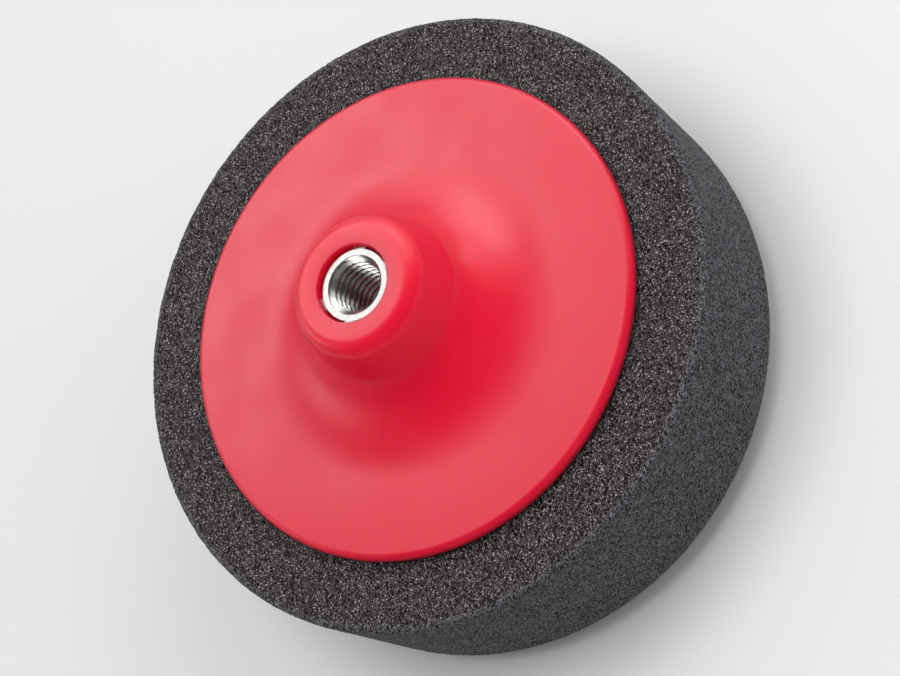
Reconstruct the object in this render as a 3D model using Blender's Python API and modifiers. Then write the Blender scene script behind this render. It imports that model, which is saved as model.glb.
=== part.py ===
"""Round foam polishing pad, bonded to a moulded backing plate with a threaded steel insert.

Units are metres and +Z is up. The pad turns about Z. The foam's working face lies on z = 0 and
the hub, which screws onto a polisher's M14 spindle, points up.
"""

import math

import bmesh
import bpy
from mathutils import Matrix

MM = 0.001
GAP = 0.3 * MM  # clearance between pieces that touch

# Foam pad
FOAM_RADIUS = 75.0 * MM  # at the top edge, where the pad is widest
FOAM_FRONT_RADIUS = 72.9 * MM  # where the side meets the rounding of the working face
FOAM_THICKNESS = 50.0 * MM
FOAM_TOP_ROUND = 1.2 * MM
FOAM_FRONT_ROUND = 12.7 * MM

# Bond film between foam and plate
FILM_THICKNESS = 0.3 * MM
FILM_RADIUS = 57.2 * MM

# Backing plate, from its rim inwards
PLATE_RADIUS = 58.6 * MM
RIM_THICKNESS = 2.7 * MM
RIM_TOP_ROUND = 1.5 * MM
RIM_BOTTOM_ROUND = 0.4 * MM
FLARE_RADIUS = 40.0 * MM  # where the flare has run out into the flat rim
FLARE_HEIGHT = 12.0 * MM
NECK_RADIUS = 17.4 * MM
HUB_RADIUS = 17.0 * MM
HUB_ROUND = 3.2 * MM
HUB_HEIGHT = 24.0 * MM  # hub face above the rim's top

# Mouth of the hub and the pocket that holds the insert
MOUTH_RADIUS = 9.25 * MM
MOUTH_DEPTH = 3.6 * MM
MOUTH_CHAMFER = 0.3 * MM

# Threaded insert, M14 x 2
THREAD_RADIUS = 7.0 * MM
THREAD_PITCH = 2.0 * MM
THREAD_MOUTH_RADIUS = 7.2 * MM
INSERT_RADIUS = 8.5 * MM
INSERT_LENGTH = 22.0 * MM
INSERT_RECESS = 1.45 * MM  # insert's top below the hub face
INSERT_CHAMFER = 0.15 * MM
LUG_COUNT = 6
LUG_RADIUS = 8.8 * MM  # distance of a lug's flat face from the axis
LUG_WIDTH = 3.4 * MM
LUG_START = math.radians(86)
LOW_LUG_DROP = 2.6 * MM  # the first lug stops this far below the insert's top
GROOVE_WIDTH = 3.0 * MM  # break between the two rows of lugs, which locks the insert in the plastic
UPPER_LUG_LENGTH = 7.0 * MM

# Facets round a full turn
WIDE_STEPS = 96
NARROW_STEPS = 48
THREAD_STEPS = 24
ARC_STEPS = 6
FLARE_STEPS = 10

# Levels along the axis
FILM_BOTTOM = FOAM_THICKNESS + GAP
FILM_TOP = FILM_BOTTOM + FILM_THICKNESS
PLATE_BOTTOM = FILM_TOP + GAP
RIM_TOP = PLATE_BOTTOM + RIM_THICKNESS
HUB_TOP = RIM_TOP + HUB_HEIGHT
INSERT_TOP = HUB_TOP - INSERT_RECESS
INSERT_BOTTOM = INSERT_TOP - INSERT_LENGTH
POCKET_FLOOR = INSERT_BOTTOM - GAP

# ISO metric thread: the sharp triangle's height, and the bore left between the grooves
THREAD_TRIANGLE = THREAD_PITCH * math.sqrt(3) / 2
BORE_RADIUS = THREAD_RADIUS - THREAD_TRIANGLE * 5 / 8


def clear_scene():
    for old in list(bpy.data.objects):
        bpy.data.objects.remove(old, do_unlink=True)


def new_collection(name):
    collection = bpy.data.collections.new(name)
    bpy.context.scene.collection.children.link(collection)
    return collection


def new_material(name, colour, roughness, metallic=0.0):
    material = bpy.data.materials.new(name)
    material.use_nodes = True
    shader = material.node_tree.nodes["Principled BSDF"]
    shader.inputs["Base Color"].default_value = (*colour, 1.0)
    shader.inputs["Roughness"].default_value = roughness
    shader.inputs["Metallic"].default_value = metallic
    material.diffuse_color = (*colour, 1.0)
    return material


def arc(centre, radii, start, end, steps):
    """Points (r, z) on an ellipse's arc, angles in degrees from +r towards +z."""
    points = []
    for i in range(steps + 1):
        angle = math.radians(start + (end - start) * i / steps)
        r = centre[0] + radii[0] * math.cos(angle)
        z = centre[1] + radii[1] * math.sin(angle)
        points.append((r, z))
    return points


def profile_mesh(name, points, closed):
    mesh = bpy.data.meshes.new(name)
    edges = [(i, i + 1) for i in range(len(points) - 1)]
    if closed:
        edges.append((len(points) - 1, 0))
    mesh.from_pydata([(r, 0.0, z) for r, z in points], edges, [])
    return mesh


def turned(name, points, collection, steps, closed=False):
    """A profile of (r, z) points, given down its outer side, turned about Z."""
    body = bpy.data.objects.new(name, profile_mesh(name, points, closed))
    collection.objects.link(body)
    screw = body.modifiers.new("Turn", "SCREW")
    screw.axis = "Z"
    screw.angle = math.tau
    screw.steps = steps
    screw.render_steps = steps
    screw.use_smooth_shade = True
    screw.use_merge_vertices = True
    screw.merge_threshold = 0.00001
    return body


def as_cutter(body):
    body.hide_render = True
    body.display_type = "WIRE"
    return body


def combine(body, other, operation):
    boolean = body.modifiers.new(other.name, "BOOLEAN")
    boolean.operation = operation
    boolean.solver = "EXACT"
    boolean.object = other


def finish(body, material):
    """Gives the piece its material, and even shading over its flat and its round faces."""
    body.data.materials.append(material)
    body.modifiers.new("Shading", "WEIGHTED_NORMAL")
    return body


def foam_pad(parts):
    """Open-cell foam cylinder, slightly tapered, with a well rounded working edge."""
    top = FOAM_TOP_ROUND
    front = FOAM_FRONT_ROUND
    points = [(0.0, FOAM_THICKNESS)]
    points += arc((FOAM_RADIUS - top, FOAM_THICKNESS - top), (top, top), 90, 0, ARC_STEPS // 2)
    points += arc((FOAM_FRONT_RADIUS - front, front), (front, front), 0, -90, ARC_STEPS + 2)
    points.append((0.0, 0.0))
    pad = turned("foam_pad", points, parts, WIDE_STEPS)
    return finish(pad, new_material("charcoal_foam", (0.045, 0.044, 0.046), 0.95))


def bond_film(parts):
    """The adhesive that holds the foam to the plate's underside."""
    points = [
        (0.0, FILM_TOP),
        (FILM_RADIUS, FILM_TOP),
        (FILM_RADIUS, FILM_BOTTOM),
        (0.0, FILM_BOTTOM),
    ]
    film = turned("bond_film", points, parts, WIDE_STEPS // 2)
    return finish(film, new_material("dark_adhesive", (0.03, 0.025, 0.02), 0.6))


def plate_outline():
    """The plate's outer side, from the middle of the hub face down and round to the underside."""
    flare = (FLARE_RADIUS - NECK_RADIUS, FLARE_HEIGHT)
    edge = RIM_TOP_ROUND
    foot = RIM_BOTTOM_ROUND
    points = [(0.0, HUB_TOP)]
    points += arc((HUB_RADIUS - HUB_ROUND, HUB_TOP - HUB_ROUND), (HUB_ROUND, HUB_ROUND), 90, 0, ARC_STEPS)
    points += arc((FLARE_RADIUS, RIM_TOP + FLARE_HEIGHT), flare, 180, 270, FLARE_STEPS)
    points += arc((PLATE_RADIUS - edge, RIM_TOP - edge), (edge, edge), 90, 0, ARC_STEPS // 2)
    points += arc((PLATE_RADIUS - foot, PLATE_BOTTOM + foot), (foot, foot), 0, -90, 2)
    points.append((0.0, PLATE_BOTTOM))
    return points


def lug_boxes(name, cutters, clearance):
    """Two rows of lugs round the insert, as separate boxes, each grown by the clearance."""
    row_levels = [
        (INSERT_TOP - UPPER_LUG_LENGTH, INSERT_TOP),
        (INSERT_BOTTOM, INSERT_TOP - UPPER_LUG_LENGTH - GROOVE_WIDTH),
    ]
    inner = INSERT_RADIUS - 1.0 * MM
    outer = LUG_RADIUS + clearance
    shape = bmesh.new()
    for row, (low, high) in enumerate(row_levels):
        for i in range(LUG_COUNT):
            top = high - LOW_LUG_DROP if row == 0 and i == 0 else high
            size = (outer - inner, LUG_WIDTH + 2 * clearance, top - low + 2 * clearance)
            centre = ((outer + inner) / 2, 0.0, (top + low) / 2)
            turn = Matrix.Rotation(LUG_START + math.tau * i / LUG_COUNT, 4, "Z")
            place = turn @ Matrix.Translation(centre) @ Matrix.Diagonal((*size, 1.0))
            bmesh.ops.create_cube(shape, size=1.0, matrix=place)
    mesh = bpy.data.meshes.new(name)
    shape.to_mesh(mesh)
    shape.free()
    boxes = bpy.data.objects.new(name, mesh)
    cutters.objects.link(boxes)
    return as_cutter(boxes)


def pocket_cutter(cutters):
    """The hub's mouth and, below it, the round pocket that the insert sits in."""
    pocket = INSERT_RADIUS + GAP
    mouth_floor = HUB_TOP - MOUTH_DEPTH
    above = HUB_TOP + MOUTH_CHAMFER
    points = [
        (0.0, above),
        (MOUTH_RADIUS + 2 * MOUTH_CHAMFER, above),
        (MOUTH_RADIUS, HUB_TOP - MOUTH_CHAMFER),
        (MOUTH_RADIUS, mouth_floor),
        (pocket, mouth_floor),
        (pocket, POCKET_FLOOR),
        (0.0, POCKET_FLOOR),
    ]
    return as_cutter(turned("pocket_cutter", points, cutters, NARROW_STEPS))


def backing_plate(parts, cutters):
    """One hard plastic moulding: flat rim, wide flare and round hub with its pocket."""
    plate = turned("backing_plate", plate_outline(), parts, WIDE_STEPS)
    combine(plate, pocket_cutter(cutters), "DIFFERENCE")
    combine(plate, lug_boxes("lug_pocket_cutter", cutters, GAP), "DIFFERENCE")
    return finish(plate, new_material("red_plastic", (0.76, 0.03, 0.055), 0.38))


def insert_outline():
    """Closed section of the steel bush, down its outer side and back up its bore."""
    edge = INSERT_CHAMFER
    lead_in = THREAD_MOUTH_RADIUS - BORE_RADIUS
    return [
        (THREAD_MOUTH_RADIUS, INSERT_TOP),
        (INSERT_RADIUS - edge, INSERT_TOP),
        (INSERT_RADIUS, INSERT_TOP - edge),
        (INSERT_RADIUS, INSERT_BOTTOM + edge),
        (INSERT_RADIUS - edge, INSERT_BOTTOM),
        (THREAD_MOUTH_RADIUS, INSERT_BOTTOM),
        (BORE_RADIUS, INSERT_BOTTOM + lead_in),
        (BORE_RADIUS, INSERT_TOP - lead_in),
    ]


def thread_cutter(cutters):
    """Right-hand helical groove, a 60 degree trapezium swept up past both ends of the insert."""
    slope = math.tan(math.radians(30))
    root = THREAD_PITCH / 16  # half the groove's width at its bottom
    inner = BORE_RADIUS - 0.12 * MM
    mouth = root + (THREAD_RADIUS - inner) * slope
    section = [(inner, mouth), (THREAD_RADIUS, root), (THREAD_RADIUS, -root), (inner, -mouth)]
    start = INSERT_BOTTOM - THREAD_PITCH
    turns = math.ceil(INSERT_LENGTH / THREAD_PITCH) + 2
    points = [(r, start + z) for r, z in section]
    sweep = turned("thread_sweep", points, cutters, THREAD_STEPS, closed=True)
    screw = sweep.modifiers["Turn"]
    screw.use_merge_vertices = False
    screw.screw_offset = THREAD_PITCH
    screw.iterations = turns
    swept = bpy.data.meshes.new_from_object(sweep.evaluated_get(bpy.context.evaluated_depsgraph_get()))
    bpy.data.objects.remove(sweep)
    shape = bmesh.new()
    shape.from_mesh(swept)
    bmesh.ops.remove_doubles(shape, verts=shape.verts, dist=0.000001)
    bmesh.ops.holes_fill(shape, edges=shape.edges, sides=len(section))
    bmesh.ops.recalc_face_normals(shape, faces=shape.faces)
    shape.to_mesh(swept)
    shape.free()
    groove = bpy.data.objects.new("thread_cutter", swept)
    cutters.objects.link(groove)
    return as_cutter(groove)


def threaded_insert(parts, cutters):
    """Steel bush with an M14 x 2 thread, held in the plastic by two rows of lugs."""
    insert = turned("threaded_insert", insert_outline(), parts, NARROW_STEPS, closed=True)
    combine(insert, lug_boxes("insert_lugs", cutters, 0.0), "UNION")
    combine(insert, thread_cutter(cutters), "DIFFERENCE")
    return finish(insert, new_material("plated_steel", (0.72, 0.72, 0.70), 0.22, 1.0))


def main():
    clear_scene()
    parts = new_collection("polishing_pad")
    cutters = new_collection("cutters")
    foam_pad(parts)
    bond_film(parts)
    backing_plate(parts, cutters)
    threaded_insert(parts, cutters)


main()
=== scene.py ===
"""Looks of the foam polishing pad: open-cell foam, moulded red plate and threaded steel insert.

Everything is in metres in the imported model's frame: the working face lies on z = 0 and the pad
turns about Z.
"""

import math

import bmesh
import bpy
import numpy as np
from mathutils import Matrix, Vector, noise


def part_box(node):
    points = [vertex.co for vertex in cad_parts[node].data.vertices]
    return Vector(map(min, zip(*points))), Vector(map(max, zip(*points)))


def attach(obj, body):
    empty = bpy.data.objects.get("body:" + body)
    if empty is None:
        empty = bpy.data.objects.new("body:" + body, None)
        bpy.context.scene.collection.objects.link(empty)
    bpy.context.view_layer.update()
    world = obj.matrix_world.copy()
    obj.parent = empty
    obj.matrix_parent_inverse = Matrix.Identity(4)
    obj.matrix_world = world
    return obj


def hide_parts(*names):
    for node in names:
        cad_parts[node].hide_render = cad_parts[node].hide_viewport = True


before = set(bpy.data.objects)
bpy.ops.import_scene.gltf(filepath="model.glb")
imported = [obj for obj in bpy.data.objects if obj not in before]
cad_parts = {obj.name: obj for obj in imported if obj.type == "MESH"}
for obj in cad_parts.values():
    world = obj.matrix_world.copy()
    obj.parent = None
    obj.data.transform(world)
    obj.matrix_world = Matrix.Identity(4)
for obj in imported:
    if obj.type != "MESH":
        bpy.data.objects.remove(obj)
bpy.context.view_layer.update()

MM = 0.001
TURN_STEPS = 256

# Foam
FOAM_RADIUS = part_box("foam_pad")[1].x
FOAM_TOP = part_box("foam_pad")[1].z
FOAM_TAPER = 2.1 * MM
FOAM_FRONT_RADIUS = FOAM_RADIUS - FOAM_TAPER  # where the side meets the rounding of the working face
FOAM_TOP_ROUND = 1.2 * MM
FOAM_FRONT_ROUND = 12.7 * MM
FOAM_VOXEL = 0.38 * MM
CELL_SIZE = 0.88 * MM
CELL_DEPTH = 0.30 * MM
CELL_FLOOR = 0.55  # how much nearer the nearest cell is than the next, in cells, at a pore's floor
SWELL_SIZE = 2.6 * MM
SWELL_DEPTH = 0.10 * MM
WEB_SIZE = CELL_SIZE * 0.7
# Size of the painted highlight glints on the foam's struts
GRAIN_SIZE = 0.35 * MM
PAINTED_GLINT_SIZE = 0.42 * MM
FOAM_RELIEF = 0.35 * MM
RAGGED_SIZE = 1.5 * MM
RAGGED_REACH = 1.6 * MM  # how far the line between cut face and side wanders
SIDE_BLEND = (1.2 * MM, 0.2 * MM)  # from the outer radius inwards, where the cut face gives way to the side
TOP_BLEND = 1.0 * MM  # the same, down from the top
FACE_BLEND = (3.0 * MM, 7.0 * MM)  # the same, up from the working face

# Backing plate
PLATE_LOW, PLATE_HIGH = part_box("backing_plate")
PLATE_RADIUS = PLATE_HIGH.x
HUB_TOP = PLATE_HIGH.z
RIM_THICKNESS = 2.7 * MM
RIM_TOP = PLATE_LOW.z + RIM_THICKNESS
RIM_TOP_ROUND = 1.5 * MM
RIM_BOTTOM_ROUND = 0.4 * MM
FLARE_RADIUS = 40.0 * MM  # where the flare has run out into the flat rim
FLARE_HEIGHT = 16.0 * MM
NECK_RADIUS = 17.6 * MM
HUB_RADIUS = 17.4 * MM
NECK_TAPER = 20.0  # degrees left out of the hub's and the flare's arcs, so the neck leans in
HUB_ROUND = (4.2 * MM, 5.0 * MM)  # across and down
MOUTH_RADIUS = 9.25 * MM
MOUTH_DEPTH = 3.6 * MM
MOUTH_ROUND = 0.3 * MM
CLOUD_SIZE = 14 * MM
PEEL_SIZE = 1.6 * MM
PEEL_DEPTH = 0.02 * MM
GLOW_DEPTH = 7.0 * MM  # how far light spreads inside the plastic
GLOW_BY_COLOUR = (1.0, 0.08, 0.12)

# Threaded insert, M14 x 2
INSERT_LOW, INSERT_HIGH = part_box("threaded_insert")
INSERT_TOP = INSERT_HIGH.z
INSERT_BOTTOM = INSERT_LOW.z
INSERT_RADIUS = 8.65 * MM
INSERT_CHAMFER = 0.15 * MM
THREAD_RADIUS = 7.0 * MM
THREAD_PITCH = 2.0 * MM
THREAD_BORE_RADIUS = THREAD_RADIUS - THREAD_PITCH * math.sqrt(3) / 2 * 5 / 8
THREAD_MOUTH_RADIUS = 7.1 * MM
THREAD_MOUTH_WALL = 0.4 * MM  # upright wall between the end face and the countersink
THREAD_LEAD = 0.7 * MM  # depth over which the crests rise out of the countersink
THREAD_STEPS = 180  # points in a ring
THREAD_ROW = 0.1 * MM  # from ring to ring
LUG_COUNT = 6
LUG_REACH = 9.2 * MM
LUG_ROOT = 0.6 * MM  # how far a lug runs into the bush
LUG_WIDTH = 3.4 * MM
LUG_HEIGHT = 7.0 * MM
LUG_EDGE = 0.12 * MM
LUG_START = math.radians(86)
LUG_DROP = 0.04 * MM  # from the insert's top to a lug's
LOW_LUG_DROP = 2.6 * MM  # the same for the first lug
POCKET_RADIUS = INSERT_RADIUS + 0.2 * MM
POCKET_FLOOR = INSERT_BOTTOM - 0.3 * MM
MARK_SIZE = 0.8 * MM
MARK_STRETCH = 12.0  # how much longer a mark is round the bore than along it
MARK_DEPTH = 0.003 * MM

# Adhesive and floor
LUMP_SIZE = 1.2 * MM
LUMP_DEPTH = 0.1 * MM
FLOOR_SIZE = 8.0
FLOOR_TONE_SIZE = 0.4

# Colours
# Painted shade in the foam's pores: the dark end of the cut face's colour
FOAM_PORE_SHADE = (0.0008, 0.0005, 0.0006)
FOAM_STRUT = (0.100, 0.081, 0.084)
# Painted highlight: the colour of glints on the foam's struts
FOAM_PAINTED_GLINT = (0.60, 0.54, 0.55)
# Dark end of the side's colour: mostly random grain, in part painted shade in the pores
SIDE_GRAIN_AND_PORE_SHADE = (0.009, 0.0085, 0.011)
SIDE_STRUT = (0.252, 0.245, 0.268)
RED_DEEP = (0.79, 0.0045, 0.038)
RED_LIGHT = (0.85, 0.006, 0.044)
STEEL_DULL = (0.50, 0.50, 0.48)
STEEL_BRIGHT = (0.62, 0.62, 0.60)
GLUE_DARK = (0.012, 0.010, 0.009)
GLUE_LIGHT = (0.035, 0.030, 0.026)
# The floor's slightly darker random tone, mixed in by noise
FLOOR_DIM_TONE = (0.86, 0.86, 0.86)
FLOOR_PALE = (0.88, 0.88, 0.88)

# Camera, aimed at a point level with the rim's top
VIEW_TARGET = Vector((-0.16 * MM, -14.45 * MM, RIM_TOP))
VIEW_DISTANCE = 641.8 * MM
VIEW_ELEVATION = 55.4
VIEW_ROLL = -61.23
LENS = 111.76
SENSOR = 36.0

# Studio: softboxes by azimuth and elevation in degrees, and brightness
LAMP_DISTANCE = 1.2
ROOM_LIGHT = 0.36
GLOSS_SPREAD = 14.0
GLOSS_LIGHTS = (
    (120.0, 42.0, 5.0),
    (180.0, 42.0, 4.5),
    (150.0, 42.0, 2.5),
    (90.0, 42.0, 1.0),
    (90.0, 20.0, 2.5),
    (120.0, 20.0, 2.5),
    (150.0, 20.0, 1.5),
    (210.0, 20.0, 1.5),
    (230.0, 25.0, 1.5),
    (180.0, 65.0, 1.5),
    (135.0, 65.0, 0.5),
)
# The steel has a bank of its own, so that neither its face is blown out nor its bore black
STEEL_LIGHTS = (
    (180.0, 42.0, 2.0),
    (180.0, 65.0, 1.0),
    (120.0, 42.0, 2.5),
    (90.0, 42.0, 1.0),
    (90.0, 20.0, 1.5),
    (120.0, 20.0, 1.0),
    (270.0, 40.0, 3.5),
    (270.0, 65.0, 1.5),
    (0.0, 65.0, 0.2),
)
FILL_SPREAD = 18.0
FILL_LIGHTS = (
    (0.0, 90.0, 5.0),
    (90.0, 40.0, 2.0),
    (45.0, 25.0, 1.5),
)


# ---------------------------------------------------------------- helpers


def link(body):
    bpy.context.scene.collection.objects.link(body)
    return body


def baked_down(body):
    """Replaces the object's mesh with the one its modifiers make."""
    depsgraph = bpy.context.evaluated_depsgraph_get()
    mesh = bpy.data.meshes.new_from_object(body.evaluated_get(depsgraph))
    body.modifiers.clear()
    body.data = mesh
    return body


def arc(centre, radii, start, end, steps):
    """Points (r, z) on an ellipse's arc, angles in degrees from +r towards +z."""
    points = []
    for i in range(steps + 1):
        angle = math.radians(start + (end - start) * i / steps)
        r = centre[0] + radii[0] * math.cos(angle)
        z = centre[1] + radii[1] * math.sin(angle)
        points.append((r, z))
    return points


def turned(name, points):
    """A profile of (r, z) points, given down its outer side, turned about Z."""
    mesh = bpy.data.meshes.new(name)
    edges = [(i, i + 1) for i in range(len(points) - 1)]
    mesh.from_pydata([(r, 0.0, z) for r, z in points], edges, [])
    body = link(bpy.data.objects.new(name, mesh))
    screw = body.modifiers.new("Turn", "SCREW")
    screw.angle = math.tau
    screw.steps = TURN_STEPS
    screw.render_steps = TURN_STEPS
    screw.use_smooth_shade = True
    screw.use_merge_vertices = True
    screw.merge_threshold = 0.01 * MM
    return body


class Surface:
    """A material under construction: nodes are added and wired in one call each."""

    def __init__(self, name):
        self.material = bpy.data.materials.new(name)
        self.material.use_nodes = True
        self.tree = self.material.node_tree
        self.shader = self.tree.nodes["Principled BSDF"]
        self.place = self.add("ShaderNodeTexCoord").outputs["Object"]

    def add(self, kind, inputs=None, **settings):
        node = self.tree.nodes.new(kind)
        for key, value in settings.items():
            setattr(node, key, value)
        for key, value in (inputs or {}).items():
            self.set(node, key, value)
        return node

    def set(self, node, key, value):
        if isinstance(value, bpy.types.NodeSocket):
            self.tree.links.new(value, node.inputs[key])
        else:
            node.inputs[key].default_value = value

    def math(self, operation, a, b=0.0):
        return self.add("ShaderNodeMath", {0: a, 1: b}, operation=operation).outputs[0]

    def sum(self, *parts):
        """The parts, each a value and its weight, added up."""
        total = self.math("MULTIPLY", *parts[0])
        for value, weight in parts[1:]:
            total = self.math("ADD", total, self.math("MULTIPLY", value, weight))
        return total

    def ramp(self, value, low, high, start=0.0, end=1.0):
        """The value's smooth way from low to high, as start to end."""
        inputs = {"Value": value, "From Min": low, "From Max": high, "To Min": start, "To Max": end}
        return self.add("ShaderNodeMapRange", inputs, interpolation_type="SMOOTHSTEP").outputs[0]

    def noise(self, size, detail=2.0, roughness=0.5, place=None):
        inputs = {"Vector": place or self.place, "Scale": 1 / size}
        inputs.update({"Detail": detail, "Roughness": roughness})
        return self.add("ShaderNodeTexNoise", inputs).outputs["Fac"]

    def from_cell_wall(self, size):
        """Distance to the nearest wall of cells of that size."""
        inputs = {"Vector": self.place, "Scale": 1 / size}
        node = self.add("ShaderNodeTexVoronoi", inputs, feature="DISTANCE_TO_EDGE")
        return node.outputs["Distance"]

    def mix(self, factor, a, b):
        node = self.add("ShaderNodeMix", data_type="RGBA")
        self.set(node, "Factor", factor)
        for key, value in ((6, a), (7, b)):
            self.set(node, key, value if isinstance(value, bpy.types.NodeSocket) else (*value, 1.0))
        return node.outputs[2]

    def bump(self, height, depth, strength=1.0):
        inputs = {"Height": height, "Distance": depth, "Strength": strength}
        normal = self.add("ShaderNodeBump", inputs).outputs[0]
        self.set(self.shader, "Normal", normal)

    def radius(self):
        """Distance from the pad's axis."""
        split = self.add("ShaderNodeSeparateXYZ", {0: self.place})
        across = self.math("MULTIPLY", split.outputs[0], split.outputs[0])
        along = self.math("MULTIPLY", split.outputs[1], split.outputs[1])
        return self.math("SQRT", self.math("ADD", across, along))


# ---------------------------------------------------------------- materials


def foam_side_share(foam):
    """1 on the foam's side and 0 on its cut faces, with a ragged line between them."""
    ragged = foam.math("MULTIPLY", foam.noise(RAGGED_SIZE, detail=3.0), RAGGED_REACH)
    reach = foam.math("ADD", foam.radius(), ragged)
    past_edge = foam.ramp(reach, FOAM_RADIUS - SIDE_BLEND[0], FOAM_RADIUS - SIDE_BLEND[1])
    height = foam.add("ShaderNodeSeparateXYZ", {0: foam.place}).outputs[2]
    height = foam.math("ADD", height, ragged)
    below_top = foam.ramp(height, FOAM_TOP, FOAM_TOP - TOP_BLEND)
    above_face = foam.ramp(height, *FACE_BLEND)
    return foam.math("MULTIPLY", foam.math("MAXIMUM", past_edge, below_top), above_face)


def foam_material():
    """Open cells on the cut faces, with painted shade in their pores and painted highlight glints on their
    struts, and a finer, softer grain on the side, darkened a little by painted pore shade.
    """
    foam = Surface("charcoal_foam")
    pore = foam.add("ShaderNodeAttribute", attribute_name="pore").outputs["Fac"]
    strut = foam.math("SUBTRACT", 1.0, pore)
    web = foam.ramp(foam.from_cell_wall(WEB_SIZE), 0.0, 0.24, 1.0, 0.0)
    grain = foam.noise(GRAIN_SIZE, detail=2.0)
    painted_glint_spots = foam.noise(PAINTED_GLINT_SIZE, detail=1.0, roughness=0.4)

    body = foam.sum((strut, 0.42), (web, 0.30), (grain, 0.5))
    # level runs from painted shade in the pores up to the struts' own colour; the grain share is random
    # tone
    level = foam.ramp(body, 0.50, 1.02)
    # Painted highlight: bright glints on the struts of the cut faces
    painted_glint = foam.math("MULTIPLY", foam.ramp(painted_glint_spots, 0.57, 0.66), level)
    cut_face = foam.mix(painted_glint, foam.mix(level, FOAM_PORE_SHADE, FOAM_STRUT), FOAM_PAINTED_GLINT)
    soft = foam.sum((strut, 0.2), (grain, 0.8))
    # The side's colour: random grain, with a fifth of painted shade in the pores
    side = foam.mix(foam.ramp(soft, 0.40, 0.80), SIDE_GRAIN_AND_PORE_SHADE, SIDE_STRUT)
    foam.set(foam.shader, "Base Color", foam.mix(foam_side_share(foam), cut_face, side))
    foam.shader.inputs["Roughness"].default_value = 0.9
    foam.shader.inputs["Specular IOR Level"].default_value = 0.3
    foam.bump(body, FOAM_RELIEF, 0.6)
    return foam.material


def plate_material():
    """Red plastic that lets some light through, with a faint orange peel."""
    plate = Surface("moulded_red_plastic")
    cloud = plate.noise(CLOUD_SIZE, detail=3.0)
    peel = plate.noise(PEEL_SIZE, detail=2.0)
    plate.set(plate.shader, "Base Color", plate.mix(cloud, RED_DEEP, RED_LIGHT))
    plate.set(plate.shader, "Roughness", plate.ramp(cloud, 0.3, 0.7, 0.32, 0.42))
    plate.bump(peel, PEEL_DEPTH, 0.5)
    plate.shader.inputs["Subsurface Weight"].default_value = 0.8
    plate.shader.inputs["Subsurface Radius"].default_value = GLOW_BY_COLOUR
    plate.shader.inputs["Subsurface Scale"].default_value = GLOW_DEPTH
    return plate.material


def steel_material():
    """Plated steel with fine marks that run round the bore."""
    steel = Surface("plated_steel")
    split = steel.add("ShaderNodeSeparateXYZ", {0: steel.place})
    squeezed = steel.add("ShaderNodeCombineXYZ", {0: split.outputs[0], 1: split.outputs[1]})
    steel.set(squeezed, 2, steel.math("MULTIPLY", split.outputs[2], MARK_STRETCH))
    marks = steel.noise(MARK_SIZE, detail=3.0, place=squeezed.outputs[0])
    steel.shader.inputs["Metallic"].default_value = 0.88
    steel.set(steel.shader, "Base Color", steel.mix(marks, STEEL_DULL, STEEL_BRIGHT))
    steel.set(steel.shader, "Roughness", steel.ramp(marks, 0.3, 0.7, 0.20, 0.28))
    steel.bump(marks, MARK_DEPTH, 0.2)
    return steel.material


def adhesive_material():
    glue = Surface("dark_adhesive")
    lumps = glue.noise(LUMP_SIZE, detail=3.0)
    glue.set(glue.shader, "Base Color", glue.mix(lumps, GLUE_DARK, GLUE_LIGHT))
    glue.set(glue.shader, "Roughness", glue.ramp(lumps, 0.3, 0.7, 0.45, 0.7))
    glue.bump(lumps, LUMP_DEPTH, 0.5)
    return glue.material


def floor_material():
    floor = Surface("white_sweep")
    tone = floor.noise(FLOOR_TONE_SIZE, detail=2.0)
    floor.set(floor.shader, "Base Color", floor.mix(tone, FLOOR_DIM_TONE, FLOOR_PALE))
    floor.shader.inputs["Roughness"].default_value = 0.8
    return floor.material


# ---------------------------------------------------------------- pieces


def foam_outline():
    top = FOAM_TOP_ROUND
    front = FOAM_FRONT_ROUND
    points = [(0.0, FOAM_TOP)]
    points += arc((FOAM_RADIUS - top, FOAM_TOP - top), (top, top), 90, 0, steps=6)
    points += arc((FOAM_FRONT_RADIUS - front, front), (front, front), 0, -90, steps=16)
    points.append((0.0, 0.0))
    return points


def carve_cells(mesh):
    """Presses a pore into the surface for each foam cell and leaves the walls between them standing.

    The mesh keeps each point's pore, from 0 on a wall to 1 on a pore's floor, for the material, which
    paints shade into the pores with it.
    """
    count = len(mesh.vertices)
    places = np.empty(count * 3)
    normals = np.empty(count * 3)
    mesh.vertices.foreach_get("co", places)
    mesh.vertex_normals.foreach_get("vector", normals)
    places = places.reshape(-1, 3)
    pore = np.empty(count)
    swell = np.empty(count)
    for i, place in enumerate(places):
        near = noise.voronoi(Vector(place / CELL_SIZE))[0]
        pore[i] = near[1] - near[0]
        swell[i] = noise.noise(Vector(place / SWELL_SIZE))
    pore = np.clip(pore / CELL_FLOOR, 0.0, 1.0)
    rise = SWELL_DEPTH * swell - CELL_DEPTH * pore
    places += normals.reshape(-1, 3) * rise[:, None]
    mesh.vertices.foreach_set("co", places.ravel())
    mesh.attributes.new("pore", "FLOAT", "POINT").data.foreach_set("value", pore.astype(np.float32))
    mesh.update()


def make_foam():
    foam = turned("polishing_foam", foam_outline())
    remesh = foam.modifiers.new("Even", "REMESH")
    remesh.mode = "VOXEL"
    remesh.voxel_size = FOAM_VOXEL * 1
    baked_down(foam)
    carve_cells(foam.data)
    foam.data.shade_smooth()
    foam.data.materials.clear()
    foam.data.materials.append(foam_material())
    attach(foam, "root")
    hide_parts("foam_pad")


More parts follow.
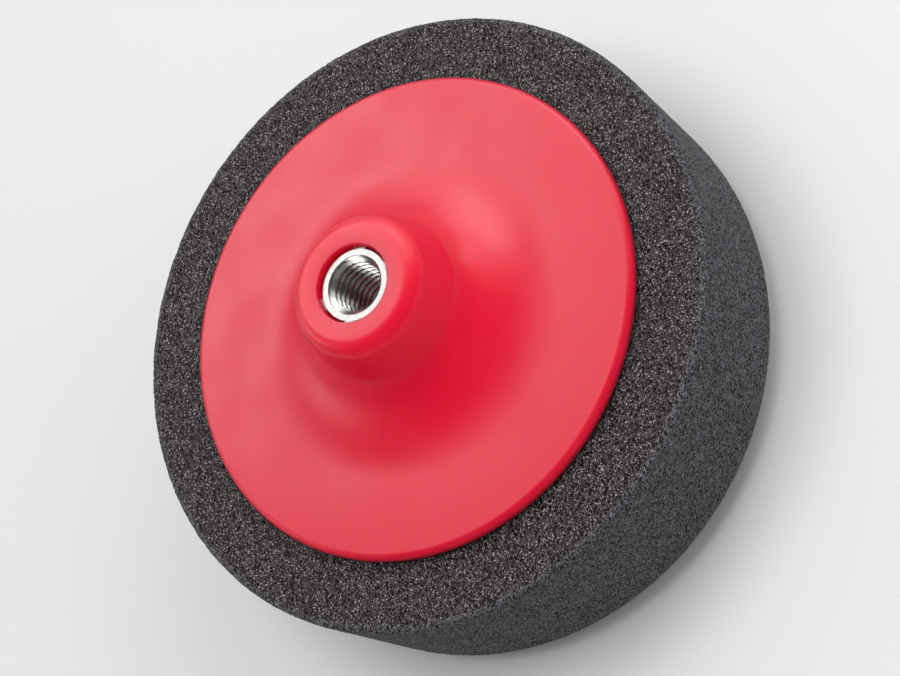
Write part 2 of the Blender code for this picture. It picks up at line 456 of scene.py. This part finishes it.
def plate_outline():
    """The plate's whole section, from the pocket's middle up, over the hub and down to the underside."""
    flare = (FLARE_RADIUS - NECK_RADIUS, FLARE_HEIGHT)
    edge = RIM_TOP_ROUND
    foot = RIM_BOTTOM_ROUND
    lip = MOUTH_ROUND
    across, down = HUB_ROUND
    points = [
        (0.0, POCKET_FLOOR),
        (POCKET_RADIUS, POCKET_FLOOR),
        (POCKET_RADIUS, HUB_TOP - MOUTH_DEPTH),
        (MOUTH_RADIUS, HUB_TOP - MOUTH_DEPTH),
    ]
    points += arc((MOUTH_RADIUS + lip, HUB_TOP - lip), (lip, lip), 180, 90, steps=5)
    points += arc((HUB_RADIUS - across, HUB_TOP - down), (across, down), 90, NECK_TAPER, steps=16)
    points += arc((FLARE_RADIUS, RIM_TOP + FLARE_HEIGHT), flare, 180 + NECK_TAPER, 270, steps=36)
    points += arc((PLATE_RADIUS - edge, RIM_TOP - edge), (edge, edge), 90, 0, steps=10)
    points += arc((PLATE_RADIUS - foot, PLATE_LOW.z + foot), (foot, foot), 0, -90, steps=4)
    points.append((0.0, PLATE_LOW.z))
    return points


def make_plate():
    plate = baked_down(turned("moulded_plate", plate_outline()))
    plate.data.set_sharp_from_angle(angle=math.radians(40))
    plate.data.materials.append(plate_material())
    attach(plate, "root")
    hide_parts("backing_plate")


def thread_radius(angle, z):
    """Radius of the internal M14 x 2 thread's surface, opened by the countersinks at both ends."""
    turn = (z / THREAD_PITCH - angle / math.tau) % 1.0
    from_root = abs(turn - 0.5) * THREAD_PITCH
    flank = (from_root - THREAD_PITCH / 16) / math.tan(math.radians(30))
    groove = min(max(THREAD_RADIUS - max(flank, 0.0), THREAD_BORE_RADIUS), THREAD_RADIUS)
    depth = min(INSERT_TOP - z, z - INSERT_BOTTOM)
    slope = (THREAD_MOUTH_RADIUS - THREAD_BORE_RADIUS) / THREAD_LEAD
    countersink = THREAD_MOUTH_RADIUS - max(depth - THREAD_MOUTH_WALL, 0.0) * slope
    return max(groove, countersink)


def insert_mesh():
    """The bush as rings of points: its helical bore from the bottom up, its end, then down its side."""
    edge = INSERT_CHAMFER
    height = INSERT_TOP - INSERT_BOTTOM
    rows = round(height / THREAD_ROW)
    levels = [INSERT_BOTTOM + height * i / rows for i in range(rows + 1)]
    outside = [
        (INSERT_RADIUS - edge, INSERT_TOP),
        (INSERT_RADIUS, INSERT_TOP - edge),
        (INSERT_RADIUS, INSERT_BOTTOM + edge),
        (INSERT_RADIUS - edge, INSERT_BOTTOM),
    ]
    angles = [math.tau * i / THREAD_STEPS for i in range(THREAD_STEPS)]
    rings = [[(a, thread_radius(a, z), z) for a in angles] for z in levels]
    rings += [[(a, r, z) for a in angles] for r, z in outside]
    vertices = [(r * math.cos(a), r * math.sin(a), z) for ring in rings for a, r, z in ring]
    faces = []
    for j in range(len(rings)):
        here = j * THREAD_STEPS
        above = (j + 1) % len(rings) * THREAD_STEPS
        for i in range(THREAD_STEPS):
            n = (i + 1) % THREAD_STEPS
            faces.append((here + n, here + i, above + i, above + n))
    mesh = bpy.data.meshes.new("threaded_bush")
    mesh.from_pydata(vertices, [], faces)
    return mesh


def make_lugs(material):
    """Flat-faced lugs round the bush that bite into the plastic."""
    inner = INSERT_RADIUS - LUG_ROOT
    shape = bmesh.new()
    for i in range(LUG_COUNT):
        top = INSERT_TOP - (LOW_LUG_DROP if i == 0 else LUG_DROP)
        low = INSERT_TOP - LUG_HEIGHT
        turn = Matrix.Rotation(LUG_START + math.tau * i / LUG_COUNT, 4, "Z")
        place = Matrix.Translation(((inner + LUG_REACH) / 2, 0.0, (top + low) / 2))
        size = Matrix.Diagonal((LUG_REACH - inner, LUG_WIDTH, top - low, 1.0))
        bmesh.ops.create_cube(shape, size=1.0, matrix=turn @ place @ size)
    mesh = bpy.data.meshes.new("insert_lugs")
    shape.to_mesh(mesh)
    shape.free()
    lugs = link(bpy.data.objects.new("insert_lugs", mesh))
    bevel = lugs.modifiers.new("Soft", "BEVEL")
    bevel.width = LUG_EDGE
    bevel.segments = 3
    bevel.harden_normals = True
    baked_down(lugs)
    lugs.data.shade_smooth()
    lugs.data.set_sharp_from_angle(angle=math.radians(50))
    lugs.data.materials.append(material)
    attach(lugs, "root")


def make_insert():
    material = steel_material()
    bush = link(bpy.data.objects.new("threaded_bush", insert_mesh()))
    bush.data.shade_smooth()
    bush.data.set_sharp_from_angle(angle=math.radians(40))
    bush.data.materials.append(material)
    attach(bush, "root")
    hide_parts("threaded_insert")
    make_lugs(material)


def finish_bond_film():
    """The bond film keeps its CAD shape and gets a finished material."""
    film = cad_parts["bond_film"]
    film.data.materials.clear()
    film.data.materials.append(adhesive_material())


# ---------------------------------------------------------------- studio


def aimed(distance, azimuth, elevation, target):
    """Place of something that looks at the target, azimuth 0 looking along +Y."""
    a = math.radians(azimuth)
    e = math.radians(elevation)
    back = Vector((math.sin(a) * math.cos(e), -math.cos(a) * math.cos(e), math.sin(e)))
    turn = Matrix.Rotation(a, 4, "Z") @ Matrix.Rotation(math.pi / 2 - e, 4, "X")
    return Matrix.Translation(target + back * distance) @ turn


def make_camera():
    data = bpy.data.cameras.new("camera")
    data.lens = LENS
    data.sensor_width = SENSOR
    camera = link(bpy.data.objects.new("camera", data))
    roll = Matrix.Rotation(math.radians(VIEW_ROLL), 4, "Z")
    camera.matrix_world = aimed(VIEW_DISTANCE, 0.0, VIEW_ELEVATION, VIEW_TARGET) @ roll
    bpy.context.scene.camera = camera


def make_softbox(name, azimuth, elevation, spread, brightness):
    """A round softbox of that brightness, reaching the spread, in degrees, to each side."""
    radius = LAMP_DISTANCE * math.tan(math.radians(spread))
    area = math.pi * radius**2
    data = bpy.data.lights.new(name, "AREA")
    data.shape = "DISK"
    data.size = 2 * radius
    data.energy = brightness * math.pi * area
    lamp = link(bpy.data.objects.new(name, data))
    lamp.matrix_world = aimed(LAMP_DISTANCE, azimuth, elevation, Vector((0.0, 0.0, FOAM_TOP)))
    return lamp


def make_floor():
    bpy.ops.mesh.primitive_plane_add(size=FLOOR_SIZE, location=(0.0, 0.0, -SWELL_DEPTH))
    floor = bpy.context.object
    floor.name = "floor"
    floor.data.materials.append(floor_material())


def make_gloss_bank(name, lights, lit):
    """Softboxes that are seen only as gloss, and only on the named objects."""
    group = bpy.data.collections.new(name)
    for piece in lit:
        group.objects.link(bpy.data.objects[piece])
    for i, (azimuth, elevation, brightness) in enumerate(lights):
        lamp = make_softbox(f"{name}_{i}", azimuth, elevation, GLOSS_SPREAD, brightness)
        lamp.visible_diffuse = False
        lamp.light_linking.receiver_collection = group


def make_fill_bank():
    for i, (azimuth, elevation, brightness) in enumerate(FILL_LIGHTS):
        lamp = make_softbox(f"fill_light_{i}", azimuth, elevation, FILL_SPREAD, brightness)
        lamp.visible_glossy = False


def make_studio():
    make_floor()
    steel = ("threaded_bush", "insert_lugs")
    the_rest = ("moulded_plate", "polishing_foam", "bond_film", "floor")
    make_gloss_bank("gloss_light", GLOSS_LIGHTS, the_rest)
    make_gloss_bank("steel_light", STEEL_LIGHTS, steel)
    make_fill_bank()
    world = bpy.data.worlds.new("studio")
    world.use_nodes = True
    background = world.node_tree.nodes["Background"]
    background.inputs["Color"].default_value = (1.0, 1.0, 1.0, 1.0)
    background.inputs["Strength"].default_value = ROOM_LIGHT
    bpy.context.scene.world = world
    world.cycles_visibility.glossy = False
    bpy.context.scene.view_settings.view_transform = "Standard"


make_camera()
make_foam()
make_plate()
make_insert()
finish_bond_film()
make_studio()
